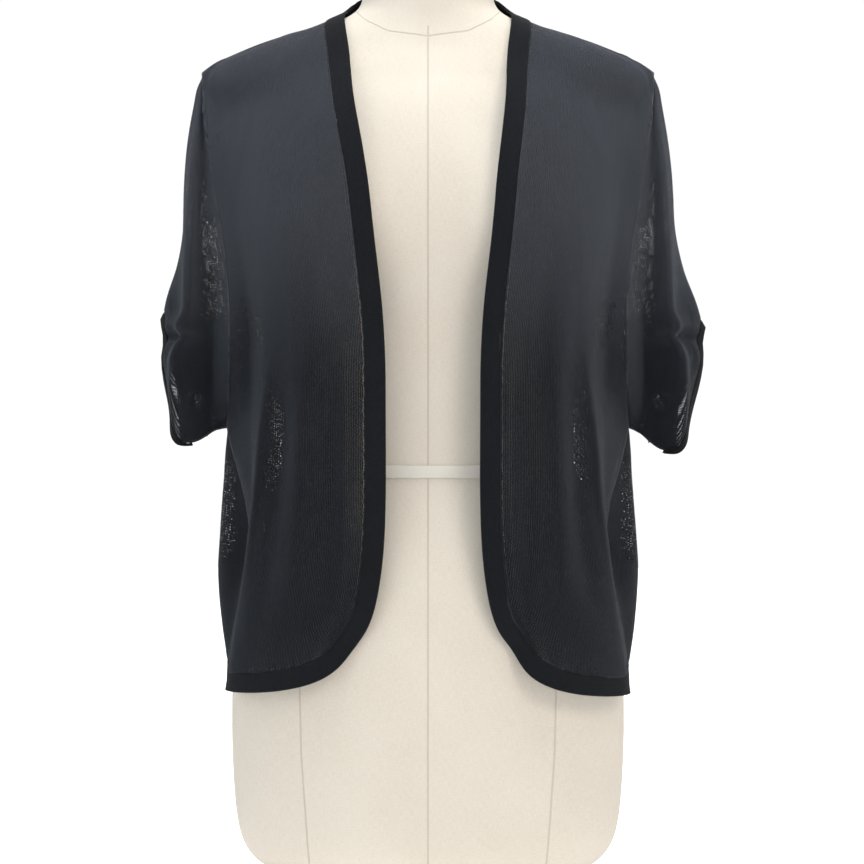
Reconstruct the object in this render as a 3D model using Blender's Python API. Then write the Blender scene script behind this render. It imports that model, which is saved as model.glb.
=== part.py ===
"""Knitted shrug on a limbless dress form.

Units in the tables are millimetres: height above the flat underside, across from the middle
plane, and depth, which is negative in front. The form is one solid. The shrug is a set of cut
pieces, each a thin wall through sections that run from the front edge round to the back.
"""
import math

import bmesh
import bpy
from mathutils import Vector

MM = 0.001

# Cloth and seams
KNIT_WALL = 2.0
BAND_WALL = 2.4
SEAM_GAP = 0.4
BAND_GAP = 0.6
NECK_BAND_GAP = 1.1
SLEEVE_HEM_GAP = 2.0
BAND_WIDTH = 18.0
SLEEVE_HEM_WIDTH = 9.0
CLEAR_OF_FORM = 1.5
SHOULDER_EXTRA = 1.1
NECK_EXTRA = 0.6
BACK_NECK_EXTRA = 3.4
NECK_STARTS, NECK_RAMP, BACK_NECK_RAMP = 730.0, 20.0, 30.0
SHOULDER_STARTS, SHOULDER_RAMP, SHOULDER_DEPTH_RAMP = 680.0, 15.0, 10.0
FAR_FROM_FORM = 0.3
BAND_CLEAR_WALLS = 1.6

# Band ends and sleeve hem ends
BAND_END_ACROSS, BAND_END_RISE = 0.93, 0.37
SIDE_END_STEP = 6.0
HEM_END_COLUMNS = 3
HEM_END_SHARE, HEM_END_GROWTH = 0.3, 0.25

# Steps in places and levels for slopes, and the section that outward ways are taken from
PLACE_STEP, LEVEL_STEP, FORM_STEP = 0.04, 1.5, 0.5
SECTION_HALF_WIDTH, SECTION_HALF_DEPTH = 170.0, 110.0

# Dress form
BUST_ACROSS = 92.0
BUST_HEIGHT = 563.0
BUST_RISE = 25.0
BUST_SPREAD = 46.0
BUST_SPREAD_ABOVE = 62.0
BUST_SPREAD_BELOW = 44.0
FORM_SIDES = 44
TALL_RING_GAP = 30
NECK_RINGS_FROM = 735
WAIST_TAPE_HEIGHT = 354.0
WAIST_TAPE_WIDTH = 12.0
WAIST_TAPE_WALL = 1.2
WAIST_TAPE_GAP = 0.35

# Nominal levels of the garment: shoulder seam, underarm point and hem seam
SHOULDER = 704.0
UNDERARM = 398.0
SHOULDER_SEAM_DEPTH = 0.0
HEM_SEAM = 188.0

# The form's level sections: height, half width, depth in front, depth behind, squareness
FORM_SECTIONS = (
    (0, 118, 60, 76, 2.0),
    (4, 129, 68, 85, 2.0),
    (15, 146, 80, 99, 2.05),
    (26, 159, 90, 109, 2.1),
    (45, 167, 96, 115, 2.2),
    (100, 172, 100, 119, 2.2),
    (150, 173, 102, 120, 2.2),
    (200, 171, 102, 117, 2.2),
    (240, 164, 100, 110, 2.2),
    (280, 150, 96, 98, 2.2),
    (320, 134, 90, 82, 2.2),
    (354, 124, 86, 72, 2.2),
    (390, 126, 86, 74, 2.2),
    (430, 134, 88, 82, 2.2),
    (480, 144, 91, 91, 2.2),
    (520, 149, 94, 97, 2.2),
    (563, 152, 97, 100, 2.2),
    (610, 158, 95, 100, 2.2),
    (650, 171, 85, 95, 2.1),
    (680, 186, 73, 88, 2.0),
    (698, 191, 62, 78, 2.0),
    (707, 189, 58, 74, 2.0),
    (716, 178, 54, 70, 2.0),
    (725, 157, 50, 66, 2.0),
    (735, 131, 47, 62, 2.0),
    (745, 102, 45, 60, 2.0),
    (754, 80, 44, 58, 2.0),
    (763, 64, 44, 56, 2.0),
    (773, 58, 44, 55, 2.0),
    (800, 55, 43, 53, 2.0),
    (827, 55, 43, 53, 2.0),
)

# Lines down the garment: level, across, depth, rise of the real height above that level

FRONT_LINES = {
    "band_seam": (
        (704, 86, -0.2, 49), (680, 85, -46, 38), (640, 80, -86, 30), (600, 70, -108, 18),
        (550, 63, -119, 8), (500, 56, -121, 0), (450, 53, -119, 0), (420, 53, -118, 0),
        (398, 53, -117, 0), (340, 53, -115, 0), (290, 55, -112, 0), (240, 62, -109, 6),
        (188, 76, -106, 31),
    ),
    "bust": (
        (704, 127, -0.2, 38), (680, 121, -42, 28), (640, 116, -80, 20), (600, 110, -106, 10),
        (550, 101, -123, 4), (500, 97, -125, 0), (450, 95, -121, 0), (420, 94, -118, 0),
        (398, 93, -116, 0), (340, 92, -113, 0), (290, 93, -111, 0), (240, 95, -108, 0),
        (188, 102, -106, 9),
    ),
    "front_fold": (
        (704, 165, -0.2, 23), (680, 159, -28, 18), (640, 155, -58, 10), (600, 150, -80, 5),
        (550, 143, -94, 0), (500, 136, -96, 0), (450, 136, -92, 0), (420, 138, -90, 0),
        (398, 141, -88, 0), (340, 148, -84, 0), (290, 155, -80, 0), (240, 163, -74, 0),
        (188, 170, -66, 1),
    ),
    "front_valley": (
        (704, 186, -0.2, 14), (680, 181, -16, 10), (640, 174, -42, 4), (600, 166, -58, 0),
        (550, 158, -66, 0), (500, 152, -66, 0), (450, 150, -60, 0), (420, 151, -57, 0),
        (398, 152, -55, 0), (340, 149, -52, 0), (290, 151, -46, 0), (240, 158, -42, 0),
        (188, 168, -38, 3),
    ),
    "side_seam": (
        (704, 197, -0.2, 5), (680, 195, -14, 0), (640, 189, -32, 0), (600, 183, -43, 0),
        (550, 174, -51, 0), (500, 170, -54, 0), (450, 170, -48, 0), (420, 172, -36, 0),
        (398, 175, -20, 0), (340, 159, -26, 0), (290, 153, -20, 0), (240, 157, -13, 0),
        (188, 167, -6, 4),
    ),
}

SLEEVE_LINES = {
    "sleeve_valley": (
        (704, 198.5, -0.6, 4.5), (680, 197, -8, 0), (640, 195, -20, 0), (600, 194, -25, 0),
        (550, 190, -25, 0), (500, 188, -21, 0), (450, 190, -18, 0), (420, 192, -17, -2),
        (398, 194, -17, -4),
    ),
    "sleeve_crest": (
        (704, 199.5, -0.4, 4), (680, 200, -9, 0), (640, 203, -24, 0), (600, 205, -34, 0),
        (550, 208, -41, 0), (500, 209, -45, 0), (450, 210, -46, 0), (420, 209, -44, 0),
        (398, 207, -40, -7),
    ),
    "sleeve_flank": (
        (704, 200.5, -0.2, 4), (680, 203, -2, 2), (640, 208, -10, 6), (600, 211, -16, 14),
        (550, 213, -22, 20), (500, 213, -26, 25), (450, 214, -29, 27), (420, 216, -30, 27),
        (398, 214, -30, 30),
    ),
    "sleeve_top": (
        (704, 201, 0, 4), (680, 205, 4, 6), (640, 210, 6, 20), (600, 213, 7, 36),
        (550, 214.5, 8, 58), (500, 215, 8, 80), (450, 222, 8, 98), (420, 231, 8, 108),
        (398, 235, 8, 114),
    ),
    "sleeve_back_flank": (
        (704, 200.5, 0.2, 4), (680, 203, 14, 2), (640, 208, 24, 6), (600, 211, 32, 14),
        (550, 213, 38, 20), (500, 213, 42, 25), (450, 214, 45, 27), (420, 216, 46, 27),
        (398, 215, 46, 30),
    ),
    "sleeve_back_crest": (
        (704, 199.5, 0.4, 4), (680, 200, 22, 0), (640, 203, 38, 0), (600, 205, 50, 0),
        (550, 208, 58, 0), (500, 208, 62, 0), (450, 206, 60, 0), (420, 202, 54, -1),
        (398, 198, 46, -2),
    ),
    "sleeve_back_valley": (
        (704, 198.5, 0.6, 4.5), (680, 197, 26, 0), (640, 194, 44, 0), (600, 192, 56, 0),
        (550, 188, 62, 0), (500, 185, 60, 0), (450, 184, 44, 0), (420, 187, 22, -1),
        (398, 192, -8, -2),
    ),
}

BACK_LINES = {
    "back_armhole": (
        (704, 197, 0.2, 5), (680, 195, 28, 0), (640, 190, 44, 0), (600, 184, 55, 0),
        (550, 177, 60, 0), (500, 172, 56, 0), (450, 172, 40, 0), (420, 174, 14, 0),
        (398, 175, -16, 0),
    ),
    "back_tuck": (
        (704, 188, 0.2, 13), (680, 184, 40, 6), (640, 178, 60, 0), (600, 172, 70, 0),
        (550, 166, 74, 0), (500, 160, 68, 0), (450, 159, 50, 0), (420, 160, 26, 0),
        (398, 162, 2, 0), (340, 151, -6, 0), (290, 150, -2, 0), (240, 160, 2, 0),
        (188, 169, 8, 4),
    ),
    "back_crest": (
        (704, 174, 0.2, 20), (680, 170, 52, 10), (640, 164, 72, 2), (600, 158, 84, 0),
        (550, 156, 90, 0), (500, 159, 89, 0), (450, 168, 76, 0), (420, 174, 60, 0),
        (398, 177, 46, 0), (340, 181, 34, 0), (290, 184, 30, 0), (240, 186, 28, 0),
        (188, 179, 26, 4),
    ),
    "back_side": (
        (704, 145, 0.2, 32), (680, 140, 62, 18), (640, 134, 86, 8), (600, 130, 98, 2),
        (550, 128, 104, 0), (500, 130, 107, 0), (450, 134, 108, 0), (420, 139, 105, 0),
        (398, 143, 101, 0), (340, 149, 93, 0), (290, 153, 91, 0), (240, 156, 92, 0),
        (188, 150, 90, 4),
    ),
    "back_blade": (
        (704, 113, 0.2, 42), (680, 106, 62, 30), (640, 98, 88, 16), (600, 92, 103, 5),
        (550, 88, 110, 0), (500, 86, 114, 0), (450, 88, 119, 0), (420, 89, 121, 0),
        (398, 90, 122, 0), (340, 93, 125, 0), (290, 95, 128, 0), (240, 95, 129, 0),
        (188, 93, 126, 2),
    ),
    "back_neck": (
        (704, 86, 0.2, 49), (680, 74, 58, 44), (640, 60, 86, 26), (600, 52, 102, 8),
        (550, 50, 110, 0), (500, 48, 113, 0), (450, 48, 118, 0), (420, 48, 121, 0),
        (398, 48, 123, 0), (340, 49, 127, 0), (290, 50, 130, 0), (240, 50, 131, 0),
        (188, 50, 128, 0),
    ),
    "back_centre": (
        (704, 0, 64, 62), (680, 0, 78, 40), (640, 0, 92, 20), (600, 0, 100, 4),
        (550, 0, 104, 0), (500, 0, 107, 0), (450, 0, 114, 0), (420, 0, 118, 0),
        (398, 0, 121, 0), (340, 0, 126, 0), (290, 0, 130, 0), (240, 0, 131, 0),
        (188, 0, 128, -1),
    ),
}

# The two orders in which a level section meets the lines, above and below the underarm point
UPPER_LINES = (*FRONT_LINES, *SLEEVE_LINES, *BACK_LINES)
LOWER_LINES = (*FRONT_LINES, *(name for name in BACK_LINES if name != "back_armhole"))

# The garment's left sleeve hangs wider and lower than the right one, and its front lies further out
LEFT_SLEEVE_REACH = {"sleeve_top": 9.0, "sleeve_flank": 2.0, "sleeve_back_flank": 2.0}
LEFT_SLEEVE_DROP = 7.0
SLEEVE_DROP_STARTS, SLEEVE_DROP_RAMP = 180.0, 20.0
LEFT_HEM_DROP = 3.0
LEFT_FRONT_SHIFT = {"band_seam": 8.5, "bust": 4.0}
FRONT_SHIFT_FADES, FRONT_SHIFT_RAMP = 560.0, 144.0

# Soft folds: line, places past it, half width in places, rise outwards, top level, bottom level
SOFT_FOLDS = (
    ("band_seam", 0.30, 0.30, 2.5, 520, 215),
    ("band_seam", 0.75, 0.28, -2.5, 530, 210),
    ("bust", 0.35, 0.30, 2.5, 470, 200),
    ("bust", 0.75, 0.28, -4.0, 540, 215),
    ("back_side", 0.45, 0.35, -7.0, 560, 200),
    ("back_blade", 0.05, 0.35, 5.0, 520, 196),
    ("back_blade", 0.60, 0.35, -6.0, 540, 200),
    ("back_neck", 0.35, 0.40, 4.0, 500, 196),
    ("back_neck", 1.00, 0.40, -5.0, 520, 200),
)

FOLD_REACH = 2.5
FOLD_FADE_TOP = 90.0
FOLD_FADE_FOOT = 40.0

# Levels of the wall sections, shoulder to hem seam
LEVELS = (
    704, 699, 692, 684, 675, 662, 644, 622, 599, 575, 550, 525, 500, 475, 450, 430, 413, 398,
    377, 355, 332, 308, 284, 260, 238, 218, 202, 188,
)
SLEEVE_TOP_LEVEL = 698
SLEEVE_LEVELS = (SLEEVE_TOP_LEVEL, *(level for level in LEVELS[2:] if level >= UNDERARM))

# Wall columns in each space between neighbouring lines
FRONT_COLUMNS = (3, 3, 3, 3)
SLEEVE_COLUMNS = (2, 2, 3, 2, 2, 3, 2, 2)
BACK_COLUMNS = (2, 3, 3, 3, 3, 3)

COLOURS = {
    "knit": (0.035, 0.037, 0.045, 1.0),
    "band": (0.025, 0.026, 0.032, 1.0),
    "linen": (0.78, 0.74, 0.66, 1.0),
    "tape": (0.84, 0.81, 0.74, 1.0),
}
ROUGHNESS = {"knit": 0.9, "band": 0.85, "linen": 0.8, "tape": 0.75}


class SmoothTable:
    """Cubic curves through the columns of a table, keyed by its first column."""

    def __init__(self, rows):
        self.rows = sorted(rows)
        self.slopes = [self.slope_at(index) for index in range(len(self.rows))]

    def slope_at(self, index):
        before = self.rows[max(index - 1, 0)]
        after = self.rows[min(index + 1, len(self.rows) - 1)]
        run = after[0] - before[0]
        return [(high - low) / run for low, high in zip(before[1:], after[1:])]

    def at(self, key):
        key = min(max(key, self.rows[0][0]), self.rows[-1][0])
        index = 0
        while index < len(self.rows) - 2 and key > self.rows[index + 1][0]:
            index += 1
        low, high = self.rows[index], self.rows[index + 1]
        run = high[0] - low[0]
        share = (key - low[0]) / run
        square, cube = share ** 2, share ** 3
        low_weight = 2 * cube - 3 * square + 1
        low_slope_weight = (cube - 2 * square + share) * run
        high_slope_weight = (cube - square) * run
        return [
            low_weight * low[1 + column] + (1 - low_weight) * high[1 + column]
            + low_slope_weight * self.slopes[index][column]
            + high_slope_weight * self.slopes[index + 1][column]
            for column in range(len(low) - 1)
        ]


FORM = SmoothTable(FORM_SECTIONS)
LINES = {
    name: SmoothTable(rows)
    for lines in (FRONT_LINES, SLEEVE_LINES, BACK_LINES)
    for name, rows in lines.items()
}


def smooth_share(value):
    """Smooth step from 0 to 1."""
    share = min(max(value, 0.0), 1.0)
    return share * share * (3 - 2 * share)


# The dress form's surface

def bust_rise(across, height, half_width):
    spread = BUST_SPREAD_ABOVE if height > BUST_HEIGHT else BUST_SPREAD_BELOW
    sideways = (abs(across) - BUST_ACROSS) / BUST_SPREAD
    upwards = (height - BUST_HEIGHT) / spread
    side_fade = 1 - min(abs(across) / half_width, 1.0) ** 4
    return BUST_RISE * side_fade * math.exp(-sideways ** 2 - upwards ** 2)


def form_point(height, angle, outset=0.0):
    """Point of the form's level section; the angle runs from the right side to the back."""
    half_width, front, back, squareness = FORM.at(height)
    cosine, sine = math.cos(angle), math.sin(angle)
    across = math.copysign(abs(cosine) ** (2 / squareness), cosine) * (half_width + outset)
    depth = math.copysign(abs(sine) ** (2 / squareness), sine)
    depth *= (front if sine < 0 else back) + outset
    if sine < 0:
        depth -= bust_rise(across, height, half_width)
    return Vector((across, depth, height))


def form_measure(point):
    """Zero on the form's surface, positive outside it."""
    half_width, front, back, squareness = FORM.at(point.z)
    if point.y < 0:
        depth = max(-point.y - bust_rise(point.x, point.z, half_width), 0.0) / front
    else:
        depth = point.y / back
    across = abs(point.x) / half_width
    return (across ** squareness + depth ** squareness) ** (1 / squareness) - 1


def clear_of_form(point, wall):
    """The point itself, or moved straight out of the form until the wall clears it."""
    gap = CLEAR_OF_FORM + wall / 2
    extra = NECK_EXTRA + (BACK_NECK_EXTRA - NECK_EXTRA) * smooth_share(point.y / BACK_NECK_RAMP)
    gap += extra * smooth_share((point.z - NECK_STARTS) / NECK_RAMP)
    on_shoulder = smooth_share((point.z - SHOULDER_STARTS) / SHOULDER_RAMP)
    gap += SHOULDER_EXTRA * on_shoulder * smooth_share(abs(point.y) / SHOULDER_DEPTH_RAMP)
    for _ in range(4):
        measure = form_measure(point)
        if measure > FAR_FROM_FORM:
            return point
        gradient = Vector([
            (form_measure(point + axis * FORM_STEP) - measure) / FORM_STEP
            for axis in (Vector((1, 0, 0)), Vector((0, 1, 0)), Vector((0, 0, 1)))
        ])
        distance = measure / gradient.length
        if distance >= gap:
            return point
        point = point + gradient.normalized() * (gap - distance)
    return point


# The garment's surface, for the side at positive across

def fold_rise(lines, place, level):
    rise = 0.0
    for line, past, half_width, height, top, bottom in SOFT_FOLDS:
        centre = lines.index(line) + past
        for middle in (centre, 2 * (len(lines) - 1) - centre):
            sideways = (place - middle) / half_width
            if abs(sideways) < FOLD_REACH:
                along = smooth_share((top - level) / FOLD_FADE_TOP)
                along *= smooth_share((level - bottom) / FOLD_FADE_FOOT)
                rise += height * along * math.exp(-sideways ** 2)
    return rise


def line_point(name, level, side):
    across, depth, rise = LINES[name].at(level)
    height = level + rise
    if side > 0:
        if name in SLEEVE_LINES:
            down = (SHOULDER - level) / (SHOULDER - UNDERARM)
            across += LEFT_SLEEVE_REACH.get(name, 0.0) * down ** 3
            outer = smooth_share((across - SLEEVE_DROP_STARTS) / SLEEVE_DROP_RAMP)
            height -= LEFT_SLEEVE_DROP * down ** 2 * outer
        else:
            fade = 1 - smooth_share((level - FRONT_SHIFT_FADES) / FRONT_SHIFT_RAMP)
            across += LEFT_FRONT_SHIFT.get(name, 0.0) * fade
            height -= LEFT_HEM_DROP * smooth_share((UNDERARM - level) / (UNDERARM - HEM_SEAM))
    return Vector((across, depth, height))


def through(before, first, second, after, share):
    """Centripetal curve from the first point to the second."""
    points = (before, first, second, after)
    knots = [0.0]
    for here, there in zip(points, points[1:]):
        knots.append(knots[-1] + max((there - here).length, 0.01) ** 0.5)
    place = knots[1] + (knots[2] - knots[1]) * share
    while len(points) > 1:
        reach = len(knots) - len(points) + 1
        points = [
            here.lerp(there, (place - knots[index]) / (knots[index + reach] - knots[index]))
            for index, (here, there) in enumerate(zip(points, points[1:]))
        ]
    return points[0]


def loop_point(level, place, side, upper):
    """Point of a level section at a line's number, or part of the way to the next line."""
    lines = UPPER_LINES if upper else LOWER_LINES
    last = len(lines) - 1
    if place > last:
        mirrored = loop_point(level, 2 * last - place, side, upper)
        return Vector((-mirrored.x, mirrored.y, mirrored.z))
    if place < 0:
        return 2 * loop_point(level, 0, side, upper) - loop_point(level, -place, side, upper)
    index = min(int(place), last - 1)
    first = line_point(lines[index], level, side)
    second = line_point(lines[index + 1], level, side)
    before = 2 * first - second
    if index > 0:
        before = line_point(lines[index - 1], level, side)
    after = Vector((-before.x, before.y, before.z))
    if index + 2 <= last:
        after = line_point(lines[index + 2], level, side)
    elif index + 1 == last:
        after = Vector((-first.x, first.y, first.z))
    point = through(before, first, second, after, place - index)
    outwards = Vector((point.x / SECTION_HALF_WIDTH, point.y / SECTION_HALF_DEPTH, 0)).normalized()
    point = point + outwards * fold_rise(lines, place, level)
    point = clear_of_form(point, KNIT_WALL)
    if level == SHOULDER and place <= lines.index("back_neck"):
        half_gap = SEAM_GAP / 2
        point.y = SHOULDER_SEAM_DEPTH + (half_gap if place > lines.index("sleeve_top") else -half_gap)
    return point


def wall_sample(level, place, side, upper):
    """Point and outward normal of the cloth's middle surface."""
    point = loop_point(level, place, side, upper)
    along = loop_point(level, place + PLACE_STEP, side, upper)
    along = along - loop_point(level, place - PLACE_STEP, side, upper)
    lowest = UNDERARM if upper else HEM_SEAM
    top = min(level + LEVEL_STEP, SHOULDER)
    foot = max(level - LEVEL_STEP, lowest)
    down = loop_point(foot, place, side, upper) - loop_point(top, place, side, upper)
    if level == SHOULDER and place <= UPPER_LINES.index("back_neck"):
        down = Vector((0, -1 if place <= UPPER_LINES.index("side_seam") else 1, 0))
    normal = down.cross(along).normalized()
    return Vector((side * point.x, point.y, point.z)), Vector((side * normal.x, normal.y, normal.z))


# Walls

def places_between(first, columns):
    """Places from the line numbered first, with this many columns in each space after it."""
    places = [
        first + number + step / count
        for number, count in enumerate(columns)
        for step in range(count)
    ]
    return places + [first + len(columns)]


def seam_sample(level, place, side, upper, inwards):
    """The seam's own normal, at a point moved in by half the seam's gap."""
    point, normal = wall_sample(level, place, side, upper)
    along = wall_sample(level, place + PLACE_STEP * inwards, side, upper)[0] - point
    along = along - normal * along.dot(normal)
    return point + along.normalized() * SEAM_GAP / 2, normal


def panel_rows(levels, side, upper_first, lower_first, columns, open_start, open_end):
    """Sections of a cut piece; an open side is the panel's own edge or the middle plane."""
    rows = []
    for level in levels:
        upper = level >= UNDERARM
        places = places_between(upper_first if upper else lower_first, columns)
        row = [wall_sample(level, place, side, upper) for place in places]
        if not open_start:
            row[0] = seam_sample(level, places[0], side, upper, 1)
        if not open_end:
            row[-1] = seam_sample(level, places[-1], side, upper, -1)
        rows.append(row)
    return rows


def add_sheet(shape, grid, flip):
    """Two triangles a cell, split on the same corner pair in every sheet of a wall."""
    for upper_row, lower_row in zip(grid, grid[1:]):
        for index in range(len(upper_row) - 1):
            corners = (
                upper_row[index], lower_row[index], lower_row[index + 1], upper_row[index + 1]
            )
            for triangle in ((0, 1, 2), (0, 2, 3)):
                face = [corners[number] for number in triangle]
                shape.faces.new(face[::-1] if flip else face)


def border_of(grid):
    """Vertices round a grid, in order."""
    return (
        list(grid[0]) + [row[-1] for row in grid[1:]]
        + list(grid[-1][-2::-1]) + [row[0] for row in grid[-2:0:-1]]
    )


def wall_object(name, rows, wall, material):
    """A closed wall about rows of middle points and normals."""
    shape = bmesh.new()
    sheets = []
    for sign in (0.5, -0.5):
        sheets.append([
            [shape.verts.new((point + normal * wall * sign) * MM) for point, normal in row]
            for row in rows
        ])
    for sheet, flip in zip(sheets, (False, True)):
        add_sheet(shape, sheet, flip)
    outer, inner = (border_of(sheet) for sheet in sheets)
    for index in range(len(outer)):
        after = (index + 1) % len(outer)
        shape.faces.new((outer[index], outer[after], inner[after], inner[index]))
    bmesh.ops.recalc_face_normals(shape, faces=shape.faces)
    return finish_object(name, shape, material)


def finish_object(name, shape, material):
    mesh = bpy.data.meshes.new(name)
    shape.to_mesh(mesh)
    shape.free()
    mesh.shade_smooth()
    mesh.set_sharp_from_angle(angle=math.radians(50))
    mesh.materials.append(material)
    piece = bpy.data.objects.new(name, mesh)
    collection.objects.link(piece)
    return piece


def strip_rows(border, inside, width, first_way=None, last_way=None, gap=BAND_GAP):
    """Sections of a strip that carries a panel's surface on past its border.

    border and inside are samples along the edge and the next ones in; width may be a list.
    """
    sections = []
    for index, (point, normal) in enumerate(border):
        before = border[max(index - 1, 0)][0]
        after = border[min(index + 1, len(border) - 1)][0]
        way = normal.cross(after - before).normalized()
        if way.dot(point - inside[index][0]) < 0:
            way = -way
        if index == 0 and first_way:
            way = first_way
        if index == len(border) - 1 and last_way:
            way = last_way
        reach = width[index] if isinstance(width, list) else width
        section = []
        for share in (0.0, 0.5, 1.0):
            place = point + way * (gap + (reach - gap) * share)
            section.append((clear_of_form(place, BAND_CLEAR_WALLS * BAND_WALL), normal))
        sections.append(section)
    for before, section, after in zip(sections, sections[1:], sections[2:]):
        for number in (1, 2):
            point, seam_normal = section[number]
            along = after[number][0] - before[number][0]
            normal = along.cross(point - section[number - 1][0]).normalized()
            section[number] = (point, normal if normal.dot(seam_normal) > 0 else -normal)
    return sections


# Pieces

def make_form(material):
    shape = bmesh.new()
    heights = []
    for (low, *_), (high, *_) in zip(FORM_SECTIONS, FORM_SECTIONS[1:]):
        heights.append(low)
        if high - low > TALL_RING_GAP or low > NECK_RINGS_FROM:
            heights.append((low + high) / 2)
    heights += [FORM_SECTIONS[-1][0], WAIST_TAPE_HEIGHT + WAIST_TAPE_WIDTH]
    rings = []
    for height in sorted(set(heights)):
        angles = [2 * math.pi * number / FORM_SIDES for number in range(FORM_SIDES)]
        rings.append([shape.verts.new(form_point(height, angle) * MM) for angle in angles])
    for low, high in zip(rings, rings[1:]):
        for index in range(FORM_SIDES):
            after = (index + 1) % FORM_SIDES
            shape.faces.new((low[index], low[after], high[after], high[index]))
    shape.faces.new(rings[0][::-1])
    shape.faces.new(rings[-1])
    finish_object("dress_form", shape, material)


def make_waist_tape(material):
    shape = bmesh.new()
    corners = (
        (0, WAIST_TAPE_GAP), (0, WAIST_TAPE_GAP + WAIST_TAPE_WALL),
        (WAIST_TAPE_WIDTH, WAIST_TAPE_GAP + WAIST_TAPE_WALL), (WAIST_TAPE_WIDTH, WAIST_TAPE_GAP),
    )
    sections = []
    for number in range(FORM_SIDES):
        angle = 2 * math.pi * number / FORM_SIDES
        sections.append([
            shape.verts.new(form_point(WAIST_TAPE_HEIGHT + up, angle, outset) * MM)
            for up, outset in corners
        ])
    for index, section in enumerate(sections):
        following = sections[(index + 1) % FORM_SIDES]
        for corner in range(4):
            other = (corner + 1) % 4
            shape.faces.new((section[corner], following[corner], following[other], section[other]))
    bmesh.ops.recalc_face_normals(shape, faces=shape.faces)
    finish_object("waist_tape", shape, material)


def side_end_way(side):
    """The way a hem band leaves the side seam."""
    place = LOWER_LINES.index("side_seam")
    foot = loop_point(HEM_SEAM, place, side, False)
    above = loop_point(HEM_SEAM + SIDE_END_STEP, place, side, False)
    way = (foot - above).normalized()
    return Vector((side * way.x, way.y, way.z))


def make_front(side, word, knit, band):
    rows = panel_rows(LEVELS, side, 0, 0, FRONT_COLUMNS, True, False)
    wall_object(f"front_{word}", rows, KNIT_WALL, knit)
    border = [row[0] for row in rows] + rows[-1][1:]
    inside = [row[1] for row in rows[:-1]] + [rows[-2][1]] + rows[-2][1:]
    neck_way = Vector((-side * BAND_END_ACROSS, 0, BAND_END_RISE))
    strip = strip_rows(border, inside, BAND_WIDTH, neck_way, side_end_way(side))
    wall_object(f"front_band_{word}", strip, BAND_WALL, band)


def make_sleeve(side, word, knit, band):
    first = UPPER_LINES.index("side_seam")
    rows = panel_rows(SLEEVE_LEVELS, side, first, first, SLEEVE_COLUMNS, False, False)
    wall_object(f"sleeve_{word}", rows, KNIT_WALL, knit)
    covered = slice(HEM_END_COLUMNS, -HEM_END_COLUMNS)
    border, inside = rows[-1][covered], rows[-2][covered]
    from_end = [min(index, len(border) - 1 - index) for index in range(len(border))]
    widths = [
        SLEEVE_HEM_WIDTH * min(1.0, HEM_END_SHARE + HEM_END_GROWTH * count) for count in from_end
    ]
    strip = strip_rows(border, inside, widths, gap=SLEEVE_HEM_GAP)
    wall_object(f"sleeve_hem_{word}", strip, KNIT_WALL, band)


def make_back(knit, band):
    upper_first = UPPER_LINES.index("back_armhole")
    lower_first = LOWER_LINES.index("side_seam")
    halves = [
        panel_rows(LEVELS, side, upper_first, lower_first, BACK_COLUMNS, False, True)
        for side in (1, -1)
    ]
    rows = [left + right[-2::-1] for left, right in zip(*halves)]
    wall_object("back", rows, KNIT_WALL, knit)
    strip = strip_rows(rows[-1], rows[-2], BAND_WIDTH, side_end_way(1), side_end_way(-1))
    wall_object("back_hem_band", strip, BAND_WALL, band)
    neck = sum(BACK_COLUMNS[:-1])
    border, inside = rows[0][neck:-neck], rows[1][neck:-neck]
    ways = [Vector((-side * BAND_END_ACROSS, 0, BAND_END_RISE)) for side in (1, -1)]
    strip = strip_rows(border, inside, BAND_WIDTH, *ways, gap=NECK_BAND_GAP)
    wall_object("neck_band", strip, BAND_WALL, band)


def make_material(name):
    material = bpy.data.materials.new(name)
    material.use_nodes = True
    shader = material.node_tree.nodes["Principled BSDF"]
    shader.inputs["Base Color"].default_value = COLOURS[name]
    shader.inputs["Roughness"].default_value = ROUGHNESS[name]
    shader.inputs["Metallic"].default_value = 0.0
    return material


for old in list(bpy.data.objects):
    bpy.data.objects.remove(old, do_unlink=True)
collection = bpy.data.collections.new("knitted_shrug")
bpy.context.scene.collection.children.link(collection)
materials = {name: make_material(name) for name in COLOURS}

make_form(materials["linen"])
make_waist_tape(materials["tape"])
for side, word in ((-1, "right"), (1, "left")):
    make_front(side, word, materials["knit"], materials["band"])
    make_sleeve(side, word, materials["knit"], materials["band"])
make_back(materials["knit"], materials["band"])
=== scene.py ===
# Knitted shrug on a limbless dress form: cloth, linen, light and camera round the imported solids
import math

import bmesh
import bpy
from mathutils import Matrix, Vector, noise
from mathutils.bvhtree import BVHTree


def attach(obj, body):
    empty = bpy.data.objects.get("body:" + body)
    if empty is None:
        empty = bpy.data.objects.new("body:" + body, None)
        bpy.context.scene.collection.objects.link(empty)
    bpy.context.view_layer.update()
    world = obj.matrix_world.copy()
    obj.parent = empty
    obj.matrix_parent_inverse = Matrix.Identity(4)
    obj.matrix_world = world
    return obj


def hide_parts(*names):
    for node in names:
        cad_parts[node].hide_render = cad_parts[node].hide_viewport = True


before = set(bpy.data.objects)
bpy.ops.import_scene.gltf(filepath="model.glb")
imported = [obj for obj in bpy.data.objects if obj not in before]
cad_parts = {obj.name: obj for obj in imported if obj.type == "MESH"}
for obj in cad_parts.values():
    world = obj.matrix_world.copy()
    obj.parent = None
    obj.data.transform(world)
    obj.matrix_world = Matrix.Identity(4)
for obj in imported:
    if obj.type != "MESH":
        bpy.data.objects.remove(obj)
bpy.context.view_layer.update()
mm = 0.001


# Shader maths

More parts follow.
